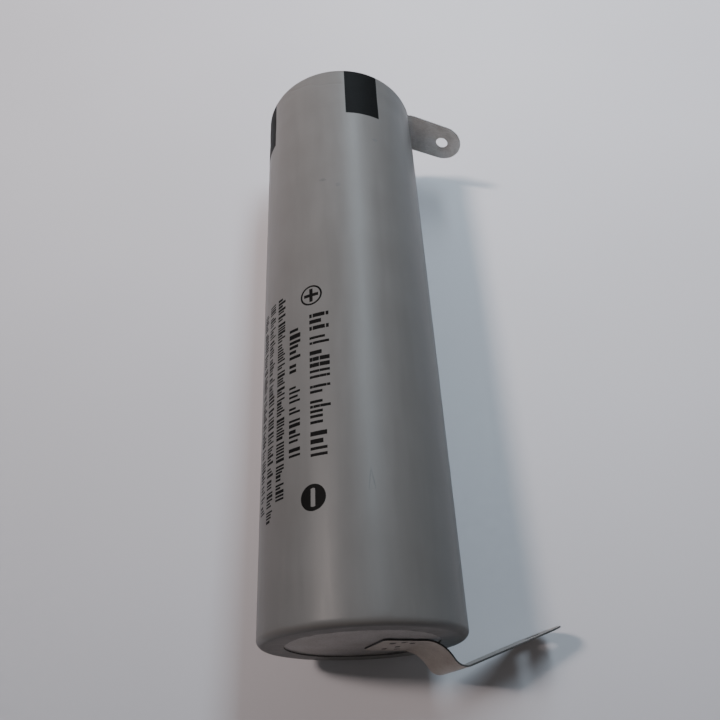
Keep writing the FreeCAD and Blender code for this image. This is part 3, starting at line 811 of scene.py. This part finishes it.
def flat_strip(tab):
    """The flat strip as a bmesh sheet, cut finely where it bends and where it is welded."""
    hole_at, bends = strip_length(tab)
    sheet = bmesh.new()
    for loop in (strip_outline(tab, hole_at), hole_outline(hole_at)):
        corners = [sheet.verts.new(point) for point in loop]
        for step, corner in enumerate(corners):
            sheet.edges.new((corner, corners[(step + 1) % len(corners)]))
    bmesh.ops.triangle_fill(sheet, use_beauty=True, edges=sheet.edges[:])
    foot = tab["fold"] - tab["start"] + FOOT_PAST_FOLD
    cuts = [step * FOOT_PITCH for step in range(1, int(foot / FOOT_PITCH))]
    for bend in bends:
        cuts += [between(bend, step / BEND_STEPS) for step in range(BEND_STEPS + 1)]
    cuts += [step * ALONG_PITCH for step in range(1, int(hole_at / ALONG_PITCH))]
    for cut in cuts:
        slice_sheet(sheet, Vector((cut, 0, 0)), Vector((1, 0, 0)))
    width = max(tab["base"], tab["tip"])
    for pitch, reach in ((ACROSS_PITCH, hole_at + tab["tip"]), (FOOT_PITCH, foot)):
        for step in range(1, int(2 * width / pitch) + 1):
            slice_sheet(sheet, Vector((0, -width + pitch * step, 0)), Vector((0, 1, 0)), reach)
    return sheet


def slice_sheet(sheet, place, normal, reach=math.inf):
    """Cut the sheet's faces along a plane, as far along the strip as the reach."""
    faces = [face for face in sheet.faces if all(vert.co.x <= reach for vert in face.verts)]
    edges = {edge for face in faces for edge in face.edges}
    verts = {vert for face in faces for vert in face.verts}
    parts = list(verts) + list(edges) + faces
    bmesh.ops.bisect_plane(sheet, geom=parts, dist=1e-5, plane_co=place, plane_no=normal)


def dent_depth(tab, along, across):
    """Depth of the electrode's dents on the foot, less the rims round them."""
    depth = 0.0
    for place in tab["dents"]:
        away = math.dist(place, (along, across))
        depth += DENT_DEPTH * math.exp(-(away / DENT_RADIUS) ** 2)
        depth -= RIM_HEIGHT * math.exp(-((away - RIM_RADIUS) / RIM_WIDTH) ** 2)
    return depth


def is_burnt(tab, along, across):
    """Whether a place on the foot lies in the ragged burnt patch of a dent."""
    ragged = BURN_RADIUS + BURN_RAGGED * noise.noise(Vector((along * BURN_WAVES, across * BURN_WAVES, 0)))
    return any(math.hypot(along - x, BURN_STRETCH * (across - y)) < ragged for x, y in tab["dents"])


def mark_faces(piece, tab, flat, sheet_faces):
    """Paint the strip's sheared edges near black, as painted shade, and give the burnt weld dents their
    own finish.
    """
    piece.data.materials.append(EDGE_PAINTED_SHADE)
    piece.data.materials.append(WELD_BURN)
    polygons = piece.data.polygons
    # The faces round the strip's rim take the painted shade on its edges.
    for polygon in polygons[2 * len(sheet_faces):]:
        polygon.material_index = 1
    for number, face in enumerate(sheet_faces):
        length, across = [sum(flat[index][axis] for index in face) / len(face) for axis in (0, 1)]
        if is_burnt(tab, length + tab["start"], across):
            polygons[2 * number].material_index = 2


def tab_axes(end):
    """A tab's face point, and its directions along the strip, across it and out of the face."""
    turn = math.radians(TABS[end]["droop"])
    along_axis = Vector((math.cos(turn), 0, -math.sin(turn)))
    across_axis = Vector((math.sin(turn), 0, math.cos(turn)))
    return Vector((0, FACE_Y[end], 0)), along_axis, across_axis, Vector((0, TABS[end]["out"], 0))


def bent_points(end, flat):
    """The strip's outer and inner faces, from places on the flat strip given as (length, across)."""
    tab = TABS[end]
    face_point, along_axis, across_axis, out_axis = tab_axes(end)
    points = []
    for layer in (0.5, -0.5):
        for length, across in flat:
            along, out, heading = strip_place(tab, length)
            thick = layer * TAB_THICK
            if layer > 0:
                thick -= dent_depth(tab, length + tab["start"], across)
            along -= thick * math.sin(heading)
            out += thick * math.cos(heading)
            points.append(face_point + along_axis * along + across_axis * across + out_axis * out)
    return points


def wear_edges(piece):
    edge = piece.modifiers.new("edge", "BEVEL")
    edge.width = EDGE_WEAR * MM
    edge.segments = 2
    edge.limit_method = "ANGLE"
    edge.angle_limit = math.radians(60)
    apply_modifiers(piece)
    sharpen(piece, 30)


def make_tab(end):
    """One whole strip from its weld to its tip, with its edges worn round."""
    tab = TABS[end]
    sheet = flat_strip(tab)
    sheet.verts.index_update()
    flat = [(vert.co.x, vert.co.y) for vert in sheet.verts]
    sheet_faces = [[vert.index for vert in face.verts] for face in sheet.faces]
    rim = [[vert.index for vert in edge.verts] for edge in sheet.edges if len(edge.link_faces) == 1]
    sheet.free()
    count = len(flat)
    faces = []
    for face in sheet_faces:
        faces.append(face)
        faces.append([index + count for index in reversed(face)])
    for first, second in rim:
        faces.append([first, second, second + count, first + count])
    piece = mesh_piece(end + "_tab", bent_points(end, flat), faces, TAB_NICKEL_PAINTED_TONES[end])
    mark_faces(piece, tab, flat, sheet_faces)
    wear_edges(piece)
    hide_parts(end + "_tab_foot", end + "_tab_arm")
    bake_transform(piece)


# ---------------------------------------------------------------- CAD nodes that stay


def dress_nodes():
    """Give each piece that the CAD holds its finish."""
    aluminium = plain_material("bare_aluminium", grey(0.62), grey(0.74), 0.38, 1.0)
    gasket = plain_material("gasket_plastic", grey(0.50, 0.03), grey(0.60, 0.02), 0.5)
    finishes = {
        "steel_can": CAN_STEEL,
        "positive_cap": CAN_STEEL,
        "insulating_washer": FIBRE,
        "ptc_ring": plain_material("black_polymer", grey(0.012), grey(0.022), 0.6),
        "cid_insulating_ring": plain_material("clear_plastic", grey(0.45), grey(0.55), 0.4),
        "centre_pin": plain_material("pin_steel", grey(0.38), grey(0.46), 0.35, 1.0),
        "anode_foil": plain_material("graphite_foil", grey(0.020), grey(0.035), 0.75),
        "cathode_foil": plain_material("oxide_foil", grey(0.030), grey(0.045), 0.7),
        "closing_tape": plain_material("tape_film", (0.02, 0.08, 0.30, 1), (0.03, 0.10, 0.36, 1), 0.3),
        # The anode lead shares the negative tab's nickel, darkened as painted shade.
        "anode_lead": TAB_NICKEL_PAINTED_TONES["negative"],
    }
    aluminium_nodes = ("vent_disc", "vent_panel", "cid_plate", "cathode_lead")
    finishes.update({node: aluminium for node in aluminium_nodes})
    finishes.update({node: gasket for node in ("sealing_gasket", "top_insulator", "bottom_insulator")})
    film = plain_material("separator_film", grey(0.75), grey(0.82), 0.55)
    finishes.update({node: film for node in ("separator_inner", "separator_outer")})
    for node, material in finishes.items():
        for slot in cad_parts[node].material_slots:
            slot.material = material


# ---------------------------------------------------------------- stage


def make_floor():
    bpy.ops.mesh.primitive_grid_add(x_subdivisions=8, y_subdivisions=8, size=FLOOR_SIZE * MM)
    floor = bpy.context.object
    floor.name = "floor"
    floor.location = (0, 0, GROUND_Z * MM)
    floor.data.materials.append(floor_material())


def facing(place, target):
    """The turn that points a lamp or camera from one place to another."""
    return (target - place).to_track_quat("-Z", "Y")


def new_light(name, kind, place, power, colour):
    """A lamp that the camera doesn't see, pointing straight down until it is turned."""
    light = bpy.data.lights.new(name, kind)
    light.energy = power
    light.color = colour
    lamp = bpy.data.objects.new(name, light)
    lamp.location = place
    lamp.visible_camera = False
    bpy.context.scene.collection.objects.link(lamp)
    return lamp


def make_lights():
    place = Vector(KEY_WAY).normalized() * KEY_DISTANCE * MM
    key = new_light("key", "SPOT", place, KEY_POWER, KEY_COLOUR)
    key.rotation_euler = facing(place, Vector(KEY_TARGET) * MM).to_euler()
    key.data.shadow_soft_size = KEY_RADIUS * MM
    key.data.spot_size = math.radians(KEY_CONE)
    key.data.spot_blend = 1.0
    strip = new_light("strip", "AREA", Vector(STRIP_PLACE) * MM, STRIP_POWER, STRIP_COLOUR)
    strip.data.shape = "RECTANGLE"
    strip.data.size = STRIP_SIZE[0] * MM
    strip.data.size_y = STRIP_SIZE[1] * MM


def make_room():
    """The room's own light, a little brighter and cooler beyond the positive end."""
    world = bpy.data.worlds.new("room")
    world.use_nodes = True
    tree = world.node_tree
    coordinates = add_node(tree, "ShaderNodeTexCoord")
    slope = add_node(tree, "ShaderNodeVectorMath", operation="DOT_PRODUCT")
    slope.inputs[1].default_value = ROOM_WAY
    tree.links.new(coordinates.outputs["Generated"], slope.inputs[0])
    share = level(tree, slope.outputs["Value"], 0.0, 1.0, -0.8, 1.0)
    colour = ramp(tree, share, [(0.0, ROOM_DIM), (1.0, ROOM_BRIGHT)])
    tree.links.new(colour, tree.nodes["Background"].inputs["Color"])
    bpy.context.scene.world = world


def make_camera():
    camera = bpy.data.objects.new("camera", bpy.data.cameras.new("camera"))
    camera.data.lens = CAMERA_LENS
    camera.data.sensor_width = CAMERA_SENSOR
    camera.data.clip_start = CAMERA_CLIP[0] * MM
    camera.data.clip_end = CAMERA_CLIP[1] * MM
    place = Vector(CAMERA_PLACE) * MM
    turn = facing(place, Vector(CAMERA_TARGET) * MM).to_matrix().to_4x4()
    roll = Matrix.Rotation(math.radians(CAMERA_ROLL), 4, "Z")
    camera.matrix_world = Matrix.Translation(place) @ turn @ roll
    bpy.context.scene.collection.objects.link(camera)
    bpy.context.scene.camera = camera


make_camera()
make_lights()
make_room()
make_floor()
make_sleeve()
make_end_marks()
make_print()
make_scuffs()
make_tab("negative")
make_tab("positive")
dress_nodes()
